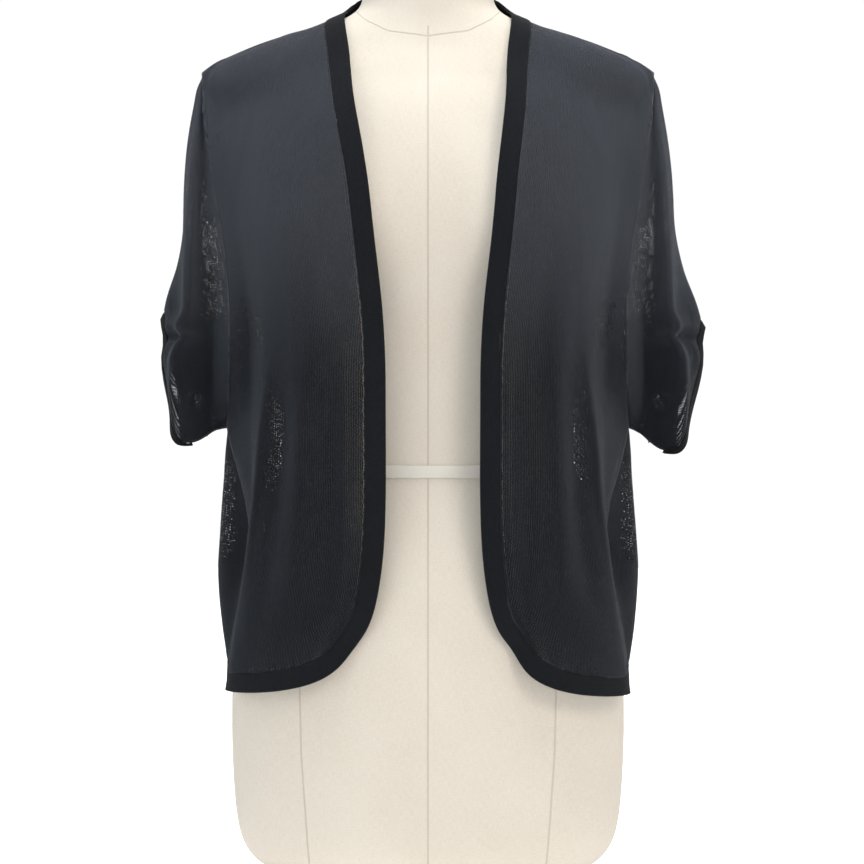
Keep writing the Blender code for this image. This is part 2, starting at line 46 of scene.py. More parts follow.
class Val:
    # a shader socket that can be used in sums, as in (a * 2 + b)
    def __init__(self, tree, socket):
        self.tree = tree
        self.socket = socket

    def math(self, operation, other=None, first=None):
        inputs = [self if first is None else first]
        if other is not None:
            inputs.append(other)
        return makeNode(self.tree, "ShaderNodeMath", {"operation": operation}, dict(enumerate(inputs)))

    def __add__(self, other):
        return self.math("ADD", other)

    def __radd__(self, other):
        return self.math("ADD", other)

    def __sub__(self, other):
        return self.math("SUBTRACT", other)

    def __rsub__(self, other):
        return self.math("SUBTRACT", self, first=other)

    def __mul__(self, other):
        return self.math("MULTIPLY", other)

    def __truediv__(self, other):
        return self.math("DIVIDE", other)

    def __pow__(self, other):
        return self.math("POWER", other)

    def __abs__(self):
        return self.math("ABSOLUTE")

    def part(self):
        return self.math("FRACT")

    def whole(self):
        return self.math("FLOOR")

    def least(self, other):
        return self.math("MINIMUM", other)

    def most(self, other):
        return self.math("MAXIMUM", other)


def makeNode(tree, kind, settings=None, sockets=None, output=0):
    # any node: settings first, then the values or links of its sockets
    node = tree.nodes.new(kind)
    for name, value in (settings or {}).items():
        setattr(node, name, value)
    for name, value in (sockets or {}).items():
        if isinstance(value, Val):
            tree.links.new(value.socket, node.inputs[name])
        else:
            node.inputs[name].default_value = value
    return Val(tree, node.outputs[output])


def axisOf(tree, place, axis):
    return makeNode(tree, "ShaderNodeSeparateXYZ", None, {0: place}, output=axis)


def attributeOf(tree, name):
    return makeNode(tree, "ShaderNodeAttribute", {"attribute_name": name}, output=2)


def chanceOf(tree, across, down, layer=0.0):
    # a random number for each whole cell
    cell = makeNode(tree, "ShaderNodeCombineXYZ", None, {0: across.whole(), 1: down.whole(), 2: layer})
    return makeNode(tree, "ShaderNodeTexWhiteNoise", {"noise_dimensions": "3D"}, {"Vector": cell})


def softStep(value, low, high):
    # 0 below low, 1 above high
    sockets = {"Value": value, "From Min": low, "From Max": high}
    return makeNode(value.tree, "ShaderNodeMapRange", {"interpolation_type": "SMOOTHSTEP"}, sockets)


def mixColour(share, first, second):
    settings = {"data_type": "RGBA"}
    sockets = {0: share, 6: first, 7: second}
    return makeNode(share.tree, "ShaderNodeMix", settings, sockets, output=2)


def newMaterial(name, **constants):
    # a material with its Principled shader's fixed values set on the sockets
    material = bpy.data.materials.new(name)
    material.use_nodes = True
    shader = material.node_tree.nodes["Principled BSDF"]
    for socket, value in constants.items():
        shader.inputs[socket.replace("_", " ")].default_value = value
    return material, material.node_tree, shader


def feed(tree, value, shader, socket):
    tree.links.new(value.socket, shader.inputs[socket])


def bumpFrom(height, strength, distance):
    sockets = {"Height": height, "Strength": strength, "Distance": distance}
    return makeNode(height.tree, "ShaderNodeBump", None, sockets)


def noiseAt(tree, place, scale, detail=2.0, roughness=0.5):
    sockets = {"Vector": place, "Scale": scale, "Detail": detail, "Roughness": roughness}
    return makeNode(tree, "ShaderNodeTexNoise", None, sockets)


# Knit, band, linen and tape

# each stitch has two legs that lean away from the middle of its wale
knitLook = {
    "wale": 1.45 * mm, "course": 1.2 * mm,
    "legStart": 0.09, "legSlope": 0.33,
    "yarn": 0.203, "yarnSpread": 0.07, "yarnEdge": 0.02,       # half width of a leg, in wales
    "openScale": 38.0, "openSpread": 0.07,                     # patches with thinner or thicker yarn
    "slack": 0.07,                                             # wider yarn where the cloth hangs slack
    "dots": 2.3 * mm, "dotLayer": 3.0,                         # open stitches where it is strained
    "dotFull": 0.06, "dotEnd": 0.13, "fewDots": 0.16, "manyDots": 0.3,
    "dark": (0.004, 0.005, 0.0075, 1), "light": (0.015, 0.0175, 0.023, 1),
    # painted light: a paler colour mixed in between two heights, standing in for light from above and for the
    # linen showing through the stitches
    "paintedLight": (0.050, 0.055, 0.067, 1), "paintedLightFrom": 430 * mm, "paintedLightTo": 590 * mm,
    "paintedLightShare": 0.5, "paintedLightRidge": 0.45,
    "bump": 0.45 * mm, "bumpStrength": 0.7, "rough": 0.95, "roughSpread": 0.15,
}
bandLook = {
    "wale": 1.15 * mm, "course": 1.0 * mm,
    "legStart": 0.10, "legSlope": 0.32,
    "yarn": 0.21, "yarnSpread": 0.05,
    "dark": (0.004, 0.0047, 0.0063, 1), "light": (0.0105, 0.0122, 0.0155, 1),
    "bump": 0.4 * mm, "bumpStrength": 0.6, "rough": 0.92, "roughSpread": 0.12,
}
wobbleLook = {"scale": 140.0, "across": 0.9, "down": 0.7}
yarnTone = {
    "heatherScale": 900.0, "patchScale": 22.0,
    # ridge: the share of the painted highlight along the middle of each leg; the other shares are the yarn's
    # own uneven tone
    "ridge": 0.45, "heather": 0.35, "chance": 0.15, "patches": 0.3, "less": 0.2,
}


def stitches(tree, look):
    # the distance across a stitch leg, and a random number for each stitch
    uv = makeNode(tree, "ShaderNodeUVMap", {"uv_map": "knit"})
    wobble = noiseAt(tree, uv, wobbleLook["scale"], 2.0)
    across = axisOf(tree, uv, 0) / look["wale"] + wobble * wobbleLook["across"]
    down = axisOf(tree, uv, 1) / look["course"] + wobble * wobbleLook["down"]
    chance = chanceOf(tree, across, down)
    side = abs(across.part() - 0.5)
    leg = down.part() * look["legSlope"] + look["legStart"]
    nearest = abs(side - leg).least(abs(side - leg - look["legSlope"]))
    return uv, nearest, chance


def knitColour(tree, uv, look, ridge, chance):
    # yarn with heathered patches, and lighter along the middle of each leg: a painted highlight on the yarn's
    # rounded top
    tone = yarnTone
    heather = noiseAt(tree, uv, tone["heatherScale"], 3.0, 0.7)
    patches = noiseAt(tree, uv, tone["patchScale"], 3.0, 0.6)
    share = ridge * tone["ridge"] + heather * tone["heather"] + chance * tone["chance"]
    share = share + patches * tone["patches"] - tone["less"]
    return mixColour(softStep(share, 0.0, 1.0), look["dark"], look["light"])


def openDots(tree, uv, look, strained):
    # scattered round holes, more of them where the cloth is strained
    across = axisOf(tree, uv, 0) / look["dots"]
    down = axisOf(tree, uv, 1) / look["dots"]
    chance = chanceOf(tree, across, down, look["dotLayer"])
    away = (across.part() - 0.5) ** 2.0 + (down.part() - 0.5) ** 2.0
    dot = 1 - softStep(away, look["dotFull"], look["dotEnd"])
    return dot * softStep(strained * chance, look["fewDots"], look["manyDots"])


def ridgeOf(nearest, yarn):
    # 1 along the middle of a leg, 0 at its edge
    return 1 - (nearest / yarn).least(1.0) ** 2.0


def finishYarn(tree, shader, look, ridge, chance):
    feed(tree, look["rough"] - chance * look["roughSpread"], shader, "Roughness")
    feed(tree, bumpFrom(ridge, look["bumpStrength"], look["bump"]), shader, "Normal")


def makeKnit(look):
    material, tree, shader = newMaterial(
        "fineKnit", Sheen_Weight=0.17, Sheen_Roughness=0.35, Sheen_Tint=(0.8, 0.88, 1, 1),
        Specular_IOR_Level=0.15)
    uv, nearest, chance = stitches(tree, look)
    stretched = noiseAt(tree, uv, look["openScale"], 2.0) - 0.5
    yarn = look["yarn"] + (chance - 0.5) * look["yarnSpread"] - stretched * look["openSpread"]
    strained = attributeOf(tree, "strained")
    yarn = yarn - strained.least(0.0) * look["slack"]
    alpha = 1 - softStep(nearest, yarn - look["yarnEdge"], yarn + look["yarnEdge"])
    alpha = alpha * (1 - openDots(tree, uv, look, strained))
    ridge = ridgeOf(nearest, yarn)
    colour = knitColour(tree, uv, look, ridge, chance)
    # painted light: the colour turns paler with height, more along the middle of each leg, in place of light
    # from above and from the linen behind
    height = axisOf(tree, makeNode(tree, "ShaderNodeNewGeometry"), 2)
    over = softStep(height, look["paintedLightFrom"], look["paintedLightTo"])
    over = over * (look["paintedLightShare"] + ridge * look["paintedLightRidge"])
    feed(tree, mixColour(over, colour, look["paintedLight"]), shader, "Base Color")
    feed(tree, alpha, shader, "Alpha")
    finishYarn(tree, shader, look, ridge, chance)
    return material


def makeBand(look):
    material, tree, shader = newMaterial(
        "doubleKnit", Sheen_Weight=0.05, Sheen_Roughness=0.4, Specular_IOR_Level=0.15)
    uv, nearest, chance = stitches(tree, look)
    ridge = ridgeOf(nearest, look["yarn"] + (chance - 0.5) * look["yarnSpread"])
    feed(tree, knitColour(tree, uv, look, ridge, chance), shader, "Base Color")
    finishYarn(tree, shader, look, ridge, chance)
    return material


linenLook = {
    "thread": 0.62 * mm,
    "shade": (0.63, 0.565, 0.47, 1), "light": (0.765, 0.71, 0.625, 1),
    "seamShade": (0.46, 0.41, 0.34, 1), "seamShare": 0.55,
    "seamHalf": 0.35 * mm, "seamEdge": 1.1 * mm, "seamDip": 2.2,
    "seams": ("centreSeam", "princessSeam", "sideSeam", "neckSeam", "bustSeam"),
    "slubStretch": 9, "slubScale": 160.0, "slubWobble": 0.5, "patchScale": 9.0,
    "toneLow": 0.25, "toneHigh": 0.85,
    "bump": 0.25 * mm, "bumpStrength": 0.5, "rough": 0.9, "roughSpread": 0.1,
}


def slubs(tree, uv, scale, look):
    # long uneven thickenings of the thread
    place = makeNode(tree, "ShaderNodeMapping", None, {"Vector": uv, "Scale": scale})
    return noiseAt(tree, place, look["slubScale"], 3.0, 0.6)


def makeLinen(look):
    material, tree, shader = newMaterial(
        "linenCover", Sheen_Weight=0.1, Sheen_Roughness=0.5, Specular_IOR_Level=0.25)
    uv = makeNode(tree, "ShaderNodeUVMap", {"uv_map": "linen"})
    weft = slubs(tree, uv, (1, look["slubStretch"], 1), look)
    warp = slubs(tree, uv, (look["slubStretch"], 1, 1), look)
    across = axisOf(tree, uv, 0) / look["thread"] + warp * look["slubWobble"]
    down = axisOf(tree, uv, 1) / look["thread"] + weft * look["slubWobble"]
    over = abs(across.part() - 0.5) + abs(down.part() - 0.5)
    seam = None
    for name in look["seams"]:
        line = 1 - softStep(abs(attributeOf(tree, name)), look["seamHalf"], look["seamEdge"])
        seam = line if seam is None else seam.most(line)
    patches = noiseAt(tree, uv, look["patchScale"], 3.0)
    tone = weft * 0.5 + warp * 0.5 + patches * 0.35 - over * 0.12
    colour = mixColour(softStep(tone, look["toneLow"], look["toneHigh"]), look["shade"], look["light"])
    colour = mixColour(seam * look["seamShare"], colour, look["seamShade"])
    feed(tree, colour, shader, "Base Color")
    feed(tree, look["rough"] - over * look["roughSpread"], shader, "Roughness")
    height = over * 0.25 + weft * 0.4 + warp * 0.4 - seam * look["seamDip"]
    feed(tree, bumpFrom(height, look["bumpStrength"], look["bump"]), shader, "Normal")
    return material


tapeLook = {
    "rib": 0.9 * mm, "shade": (0.70, 0.66, 0.57, 1), "light": (0.84, 0.81, 0.74, 1),
    "fluffScale": 500.0, "fluff": 0.6, "ribShare": 0.5,
    "bump": 0.2 * mm, "bumpStrength": 0.5, "rough": 0.88, "roughSpread": 0.08,
}


def makeTape(look):
    material, tree, shader = newMaterial("cottonTape", Sheen_Weight=0.08, Specular_IOR_Level=0.25)
    uv = makeNode(tree, "ShaderNodeUVMap", {"uv_map": "linen"})
    across = axisOf(tree, uv, 0) / look["rib"]
    down = axisOf(tree, uv, 1) / look["rib"]
    twill = abs((across + down).part() - 0.5) * 2
    tone = twill * look["ribShare"] + noiseAt(tree, uv, look["fluffScale"], 3.0) * look["fluff"]
    feed(tree, mixColour(tone.least(1.0), look["shade"], look["light"]), shader, "Base Color")
    feed(tree, look["rough"] - twill * look["roughSpread"], shader, "Roughness")
    feed(tree, bumpFrom(twill, look["bumpStrength"], look["bump"]), shader, "Normal")
    return material


knit = makeKnit(knitLook)
band = makeBand(bandLook)
linen = makeLinen(linenLook)
tape = makeTape(tapeLook)
print("materials ready")


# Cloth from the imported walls

mergeWithin = 0.02 * mm
wallSlack = 0.03 * mm           # how far a wall's rim edge may be from the wall's thickness
leastOpposed = -0.12            # how much the normals at its two ends have to differ
axisDepth = 10 * mm             # depth of the upright axis that the cloth hangs round
onSeam = 0.9                    # seamSide above which a vertex counts as on the seam


def nodeShape(name):
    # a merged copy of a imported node's mesh
    shape = bmesh.new()
    shape.from_mesh(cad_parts[name].data)
    shape.verts.layers.float.new("seamSide")
    bmesh.ops.remove_doubles(shape, verts=shape.verts, dist=mergeWithin)
    return shape


def joinedFaces(start):
    found = {start}
    edgeOn = [start]
    while edgeOn:
        for edge in edgeOn.pop().edges:
            for other in edge.link_faces:
                if other not in found:
                    found.add(other)
                    edgeOn.append(other)
    return found


def joinPairs(shape):
    # takes out the diagonals: an edge's kind repeats on the far side of each shared edge
    corner = next(vert for vert in shape.verts if len(vert.link_faces) == 1)
    first = corner.link_faces[0]
    diagonal = {edge: corner not in edge.verts for edge in first.edges}
    edgeOn, done = [first], {first}
    while edgeOn:
        face = edgeOn.pop()
        for shared in face.edges:
            for other in shared.link_faces:
                if other in done:
                    continue
                for edge in other.edges:
                    if edge is not shared:
                        common = next(vert for vert in edge.verts if vert in shared.verts)
                        match = next(
                            old for old in face.edges if old is not shared and common not in old.verts)
                        diagonal[edge] = diagonal[match]
                done.add(other)
                edgeOn.append(other)
    joined = [edge for edge, crossing in diagonal.items() if crossing]
    bmesh.ops.dissolve_edges(shape, edges=joined, use_verts=False)


def crossesWall(edge, wall):
    # an edge of a wall's rim, from its outer side to its inner side
    first, second = edge.verts
    along = (second.co - first.co).normalized()
    opposed = first.normal.dot(along) * second.normal.dot(along) < leastOpposed
    return opposed and abs(edge.calc_length() - wall) < wallSlack


def outerSheet(name, wall):
    # the wall's outer side alone, as four-sided faces
    shape = nodeShape(name)
    rims = {face for edge in shape.edges if crossesWall(edge, wall) for face in edge.link_faces}
    bmesh.ops.delete(shape, geom=list(rims), context="FACES")
    outer = joinedFaces(next(iter(shape.faces)))
    inner = set(shape.faces) - outer

    def outwardness(side):
        total = 0.0
        for face in side:
            middle = face.calc_center_median()
            total += face.calc_area() * face.normal.dot(Vector((middle.x, middle.y - axisDepth, 0)))
        return total

    if outwardness(inner) > outwardness(outer):
        outer, inner = inner, outer
    bmesh.ops.delete(shape, geom=list(inner), context="FACES")
    joinPairs(shape)
    return shape


def rowsOf(shape):
    # the grid's rows, from the one that holds the highest corner
    corners = [vert for vert in shape.verts if len(vert.link_edges) == 2]
    start = max(corners, key=lambda vert: vert.co.z)
    walks = []
    for edge in start.link_edges:
        row = [start, edge.other_vert(start)]
        for _ in shape.verts:
            if len(row[-1].link_edges) == 2:
                break
            edge = next(side for side in row[-1].link_edges if side.is_boundary and side is not edge)
            row.append(edge.other_vert(row[-1]))
        walks.append(row)
    rows = [max(walks, key=lambda row: row[-1].co.z)]
    used = set(rows[0])
    while True:
        row = []
        for vert in rows[-1]:
            row += [edge.other_vert(vert) for edge in vert.link_edges if edge.other_vert(vert) not in used]
        if not row:
            return rows
        used.update(row)
        rows.append(row)


def layOut(shape, rows, walesAlongRows, seamColumn):
    # the sheet's own flat places in metres, as a UV map; returns its greatest width and length
    across, down = {}, {}
    for row in rows:
        across[row[0]] = 0.0
        for before, vert in zip(row, row[1:]):
            across[vert] = across[before] + (vert.co - before.co).length
    for column in zip(*rows):
        down[column[0]] = 0.0
        for before, vert in zip(column, column[1:]):
            down[vert] = down[before] + (vert.co - before.co).length
    seam = shape.verts.layers.float["seamSide"]
    for vert in shape.verts:
        vert[seam] = 1.0 if seamColumn is None else 0.0
    if seamColumn is not None:
        for row in rows:
            row[seamColumn][seam] = 1.0
    layer = shape.loops.layers.uv.new("knit")
    for face in shape.faces:
        for loop in face.loops:
            place = (across[loop.vert], down[loop.vert])
            loop[layer].uv = place[::-1] if walesAlongRows else place
    return max(across.values()), max(down.values())


def rounded(shape, name, levels):
    # the sheet after subdivision, as a mesh of its own
    coarse = bpy.data.meshes.new(name + "Cage")
    shape.to_mesh(coarse)
    shape.free()
    cage = bpy.data.objects.new(name + "Cage", coarse)
    bpy.context.scene.collection.objects.link(cage)
    smooth = cage.modifiers.new("smooth", "SUBSURF")
    smooth.levels = smooth.render_levels = levels
    smooth.boundary_smooth = "PRESERVE_CORNERS"
    bpy.context.view_layer.update()
    evaluated = cage.evaluated_get(bpy.context.evaluated_depsgraph_get())
    mesh = bpy.data.meshes.new_from_object(evaluated)
    bpy.data.objects.remove(cage)
    bpy.data.meshes.remove(coarse)
    mesh.name = name
    return mesh


def seen(view, place, normal):
    # a place as drawn in a view, and how much of the cloth there faces it
    if view == "front":
        return Vector((place.x, place.z)), max(-normal.y, 0.0)
    if view == "back":
        return Vector((place.x, place.z)), max(normal.y, 0.0)
    return Vector((place.y, place.z)), abs(normal.x)


creaseLook = {
    "reach": 2.6,                           # half widths past which a crease has no effect
    "leastFacing": 0.05, "facing": 1.6,
    "unevenness": 0.45, "unevenScale": 14,
    "ripple": 0.5 * mm, "rippleAcross": 60, "rippleDown": 16,
}


def creaseRise(crease, at):
    # soft ridge or trough along a drawn line, fading towards both ends
    points = crease["line"]
    best, share, count = 1.0, 0.0, len(points) - 1
    for index in range(count):
        start, run = points[index], points[index + 1] - points[index]
        along = min(max((at - start).dot(run) / run.length_squared, 0.0), 1.0)
        away = (at - start - run * along).length
        if away < best:
            best, share = away, (index + along) / count
    near = best / crease["half"]
    if near > creaseLook["reach"]:
        return 0.0
    fade = min(share / crease["fade"], (1 - share) / crease["fade"], 1.0)
    return crease["rise"] * fade * fade * (3 - 2 * fade) * math.exp(-near * near)


def crease(view, rise, half, *points, fade=0.3):
    # sizes in mm: height of the ridge, half its width, then (across, height) points
    line = [Vector((across * mm, height * mm)) for across, height in points]
    return {"view": view, "rise": rise * mm, "half": half * mm, "fade": fade, "line": line}


def addCreases(mesh, creases, look):
    shape = bmesh.new()
    shape.from_mesh(mesh)
    shape.normal_update()
    moves = {}
    for vert in shape.verts:
        rise = 0.0
        for each in creases:
            at, facing = seen(each["view"], vert.co, vert.normal)
            if facing > look["leastFacing"]:
                rise += creaseRise(each, at) * min(facing * look["facing"], 1.0)
        uneven = 1 + look["unevenness"] * noise.noise(vert.co * look["unevenScale"])
        x, y, z = vert.co
        place = Vector((x * look["rippleAcross"], y * look["rippleAcross"], z * look["rippleDown"]))
        ripple = noise.noise(place) * look["ripple"]
        moves[vert] = vert.normal * (rise * uneven + ripple * (0 if vert.is_boundary else 1))
    for vert, move in moves.items():
        vert.co += move
    shape.to_mesh(mesh)
    shape.free()


def tuckSeams(mesh, overlap, dip):
    # edges reach a little past the seam and turn in, so neighbours close against each other
    shape = bmesh.new()
    shape.from_mesh(mesh)
    shape.normal_update()
    seam = shape.verts.layers.float["seamSide"]
    moves = {}
    for vert in shape.verts:
        if vert.is_boundary:
            inside = [edge.other_vert(vert) for edge in vert.link_edges if not edge.is_boundary]
            nextTo = [edge.other_vert(vert) for edge in vert.link_edges]
            inside = inside or [other for other in nextTo if other[seam] < onSeam] or nextTo
            out = sum(((vert.co - other.co).normalized() for other in inside), Vector())
            moves[vert] = (out.normalized() * overlap - vert.normal * dip) * vert[seam]
    for vert, move in moves.items():
        vert.co += move
    shape.to_mesh(mesh)
    shape.free()


# strips where light shows through the stretched stitches: half width, then (across, height), in mm
strainedStrips = [
    (4, (197, 622), (195, 580), (193, 535)), (6, (187, 595), (184, 530), (184, 480)),
    (7, (158, 515), (150, 485), (146, 460)), (6, (134, 440), (128, 405), (130, 370), (141, 332)),
    (8, (178, 385), (180, 330), (181, 265)), (4, (204, 430), (203, 412)), (4, (214, 625), (213, 560)),
]
# the sleeve ends hang slack: across from inner to outer, and downwards from top to full
slackPart = {"inner": 188 * mm, "outer": 202 * mm, "top": 520 * mm, "full": 460 * mm, "strained": 0.05}


def addStrain(mesh, look):
    # above 0 where the stitches are pulled open, below 0 where the cloth is slack
    strips = [
        {
            "line": [Vector((across * mm, height * mm)) for across, height in points],
            "half": half * mm, "rise": 1.0, "fade": 0.3,
        }
        for half, *points in strainedStrips
    ]
    values = []
    for vert in mesh.vertices:
        at = Vector((abs(vert.co.x), vert.co.z))
        value = max(0.0, *(creaseRise(strip, at) for strip in strips))
        slack = step(at.x, look["inner"], look["outer"]) * step(-at.y, -look["top"], -look["full"])
        values.append(value - slack if value < look["strained"] else value)
    mesh.attributes.new("strained", "FLOAT", "POINT").data.foreach_set("value", values)


# the sleeve's front hangs out and down in a rounded lobe, below a notch under its outer corner
lobe = {
    "out": 11 * mm, "inner": 190 * mm, "outer": 214 * mm, "top": 492 * mm, "full": 455 * mm,
    "down": 6 * mm, "downTop": 430 * mm, "downFull": 395 * mm,
    "downInner": 184 * mm, "downOuter": 200 * mm, "back": 30 * mm,
    "notch": 7 * mm, "notchHeight": 485 * mm, "notchHalf": 11 * mm,
    "frontStart": -4 * mm, "front": 22 * mm,
}


def step(value, low, high):
    share = min(max((value - low) / (high - low), 0.0), 1.0)
    return share * share * (3 - 2 * share)


def hangLobe(mesh, look):
    for vert in mesh.vertices:
        x, y, z = vert.co
        reach = step(abs(x), look["inner"], look["outer"]) * step(-y, look["frontStart"], look["front"])
        low = step(-z, -look["top"], -look["full"])
        notch = math.exp(-((z - look["notchHeight"]) / look["notchHalf"]) ** 2)
        vert.co.x += math.copysign(reach * (low * look["out"] - notch * look["notch"]), x)
        down = step(-z, -look["downTop"], -look["downFull"])
        down *= step(abs(x), look["downInner"], look["downOuter"])
        vert.co.z -= look["down"] * down * step(-y, -look["front"], look["back"])


cornerLook = {"below": 265 * mm, "shares": (0.5, -0.52) * 3}


def smoothCorner(rows, look):
    # takes the kinks out of a band's rounded corner: each second round undoes the shrinking
    for share in look["shares"]:
        places = [[vert.co.copy() for vert in row] for row in rows]
        for before, row, after, targets in zip(places, rows[1:], places[2:], places[1:]):
            for first, vert, last, place in zip(before, row, after, targets):
                if place.z < look["below"]:
                    vert.co = place.lerp((first + last) / 2, share)


nearForm = 30 * mm


def clearOf(mesh, tree, least):
    # no point nearer to the form than this
    for vert in mesh.vertices:
        place, normal, _, away = tree.find_nearest(vert.co)
        gap = (vert.co - place).dot(normal)
        if gap < least and away < nearForm:
            vert.co += normal * (least - gap)


def show(name, mesh, material, slot, *nodes):
    piece = bpy.data.objects.new(name, mesh)
    bpy.context.scene.collection.objects.link(piece)
    mesh.materials.clear()
    mesh.materials.append(material)
    mesh.shade_smooth()
    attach(piece, "root")
    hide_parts(*nodes)
    return piece


def thicken(piece, thickness):
    wall = piece.modifiers.new("thickness", "SOLIDIFY")
    wall.thickness = thickness
    wall.offset = -1
    return piece


# Dress form

formLook = {
    "levels": 2, "joinAngle": math.radians(25), "joinShape": math.radians(60),
    # tables of height and distance from the middle, or, for the neck seam in front, the reverse
    "princess": (
        (0, 100), (120, 108), (200, 110), (290, 98), (354, 88), (430, 84), (520, 88), (600, 92),
        (700, 96), (760, 70),
    ),
    "neckSeam": ((0, 736), (35, 741), (55, 752), (66, 765)),
    "neckRise": 8.0,                                            # the same seam is higher behind
    "bustLine": {"top": 532.0, "fall": 0.80, "reach": 33.0, "ends": 2},
    "sideSeam": 8.0, "sideFrom": 90, "centrePastNeck": 10,
    "far": 0.05, "wrap": 150 * mm,
}


def onTable(table, key):
    # straight lines between the rows of a two-column table
    for (low, first), (high, second) in zip(table, table[1:]):
        if key <= high:
            return first + (second - first) * max(key - low, 0) / (high - low)
    return table[-1][1]


def addSeamPlaces(mesh, look):
    # signed distances from each seam of the cover, in metres
    far = look["far"]
    places = {name: [] for name in linenLook["seams"]}
    for vert in mesh.vertices:
        x, y, z = vert.co / mm
        across = abs(x)
        neck = onTable(look["neckSeam"], across) + (look["neckRise"] if y > 0 else 0)
        bust = look["bustLine"]
        below = abs(z - (bust["top"] - across * bust["fall"]))
        below += max(across - bust["reach"], 0) * bust["ends"]
        places["centreSeam"].append(x * mm if z < neck + look["centrePastNeck"] else far)
        places["princessSeam"].append((across - onTable(look["princess"], z)) * mm)
        places["sideSeam"].append((y - look["sideSeam"]) * mm if across > look["sideFrom"] else far)
        places["neckSeam"].append((z - neck) * mm)
        places["bustSeam"].append(below * mm if y < 0 else far)
    for name, values in places.items():
        mesh.attributes.new(name, "FLOAT", "POINT").data.foreach_set("value", values)


def layLinen(mesh, wrap):
    layer = mesh.uv_layers.new(name="linen")
    for loop in mesh.loops:
        place = mesh.vertices[loop.vertex_index].co
        angle = math.atan2(place.x, -place.y)
        layer.data[loop.index].uv = (angle * wrap, place.z)


def makeForm(look):
    shape = nodeShape("dress_form")
    bmesh.ops.join_triangles(
        shape, faces=shape.faces, angle_face_threshold=look["joinAngle"],
        angle_shape_threshold=look["joinShape"])
    for face in list(shape.faces):
        if len(face.verts) > 4:
            bmesh.ops.poke(shape, faces=[face])
    mesh = rounded(shape, "linenForm", look["levels"])
    addSeamPlaces(mesh, look)
    layLinen(mesh, look["wrap"])
    return show("linenForm", mesh, linen, "linen", "dress_form")


def makeWaistTape(look):
    mesh = rounded(nodeShape("waist_tape"), "waistTape", 1)
    layLinen(mesh, look["wrap"])
    show("waistTape", mesh, tape, "tape", "waist_tape")


form = makeForm(formLook)
makeWaistTape(formLook)
formTree = BVHTree.FromPolygons(
    [vert.co for vert in form.data.vertices],
    [tuple(face.vertices) for face in form.data.polygons])
print("dress form ready")


# Knitted pieces

# overlap: how far an edge reaches past its seam; dip: how far it turns in there
knitCut = {
    "wall": 2.0 * mm, "levels": 3, "thickness": 0.5 * mm, "overlap": 0.55 * mm, "dip": 0.5 * mm,
}
frontCut = dict(knitCut, overlap=2.6 * mm, dip=0.6 * mm)
backCut = dict(knitCut, levels=2)
bandCut = {
    "wall": 2.4 * mm, "levels": 2, "thickness": 1.7 * mm, "overlap": 0.7 * mm, "dip": 0.5 * mm,
}
neckCut = dict(bandCut, overlap=1.2 * mm)
hemCut = {
    "wall": 2.0 * mm, "levels": 2, "thickness": 1.0 * mm, "overlap": 2.4 * mm, "dip": 0.3 * mm,
}
leastGap = 2.0 * mm
topPull = 0.8                   # how much of the way a sleeve's top row is drawn to the shoulder tip
flatSizes = {}


def makeCloth(name, node, cut, material, slot, creases=(), walesAlongRows=False, topTo=None):
    # one knitted piece on the outer side of its packed wall
    shape = outerSheet(node, cut["wall"])
    rows = rowsOf(shape)
    if topTo:
        for vert in rows[0]:
            vert.co = vert.co.lerp(topTo, topPull)
    if node.startswith("front_band"):
        smoothCorner(rows, cornerLook)
    width, length = layOut(shape, rows, walesAlongRows, seamColumnOf(rows, node))
    mesh = rounded(shape, name, cut["levels"])
    if "sleeve" in node:
        hangLobe(mesh, lobe)
    addCreases(mesh, creases, creaseLook)
    clearOf(mesh, formTree, leastGap)
    tuckSeams(mesh, cut["overlap"], cut["dip"])
    if material is knit:
        addStrain(mesh, slackPart)
    flatSizes[name] = (width, length, sum(face.area for face in mesh.polygons))
    piece = show(name, mesh, material, slot, node)
    return thicken(piece, cut["thickness"])


def declareSheet(piece, *sewnOn):
    # the panel's cut: its longest row, its longest column, and the area of what shows
    width, length, area = flatSizes[piece.name]
    print(f"sheet {piece.name}: {width:.3f} x {length:.3f} m, {area:.4f} m2")
    min(area, width * length)


def seamColumnOf(rows, node):
    # a strip's seam is the side that lies nearer to the panel it is sewn to
    if len(rows[0]) > 3 or "band" not in node and "hem" not in node:
        return None
    panel = {"f": "front_", "s": "sleeve_"}[node[0]] + node.split("_")[-1]
    points = [vert.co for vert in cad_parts[panel].data.vertices]
    middle = rows[len(rows) // 2]
    return min((0, -1), key=lambda column: min((middle[column].co - point).length for point in points))


def frontCreases(side):
    return [
        crease("front", 2.8, 4.5, (side * 133, 470), (side * 142, 392), (side * 149, 330), (side * 166, 230)),
        crease("front", -2.6, 9, (side * 118, 480), (side * 124, 380), (side * 132, 300), (side * 146, 215)),
        crease("front", 2.0, 6, (side * 68, 460), (side * 70, 340), (side * 74, 240)),
        crease("front", -2.0, 7, (side * 83, 470), (side * 84, 340), (side * 92, 240)),
        crease("front", 1.8, 8, (side * 104, 460), (side * 106, 340), (side * 118, 225)),
    ]


def sleeveCreases(side):
    return [
        crease("front", 1.8, 4, (side * 203, 690), (side * 207, 560), (side * 210, 450)),
        crease("front", -1.8, 5, (side * 197, 660), (side * 197, 560), (side * 196, 450)),
        crease("front", 1.4, 5, (side * 218, 500), (side * 217, 450), (side * 210, 405)),
        crease("back", 1.2, 6, (side * 202, 680), (side * 206, 560), (side * 204, 440)),
    ]


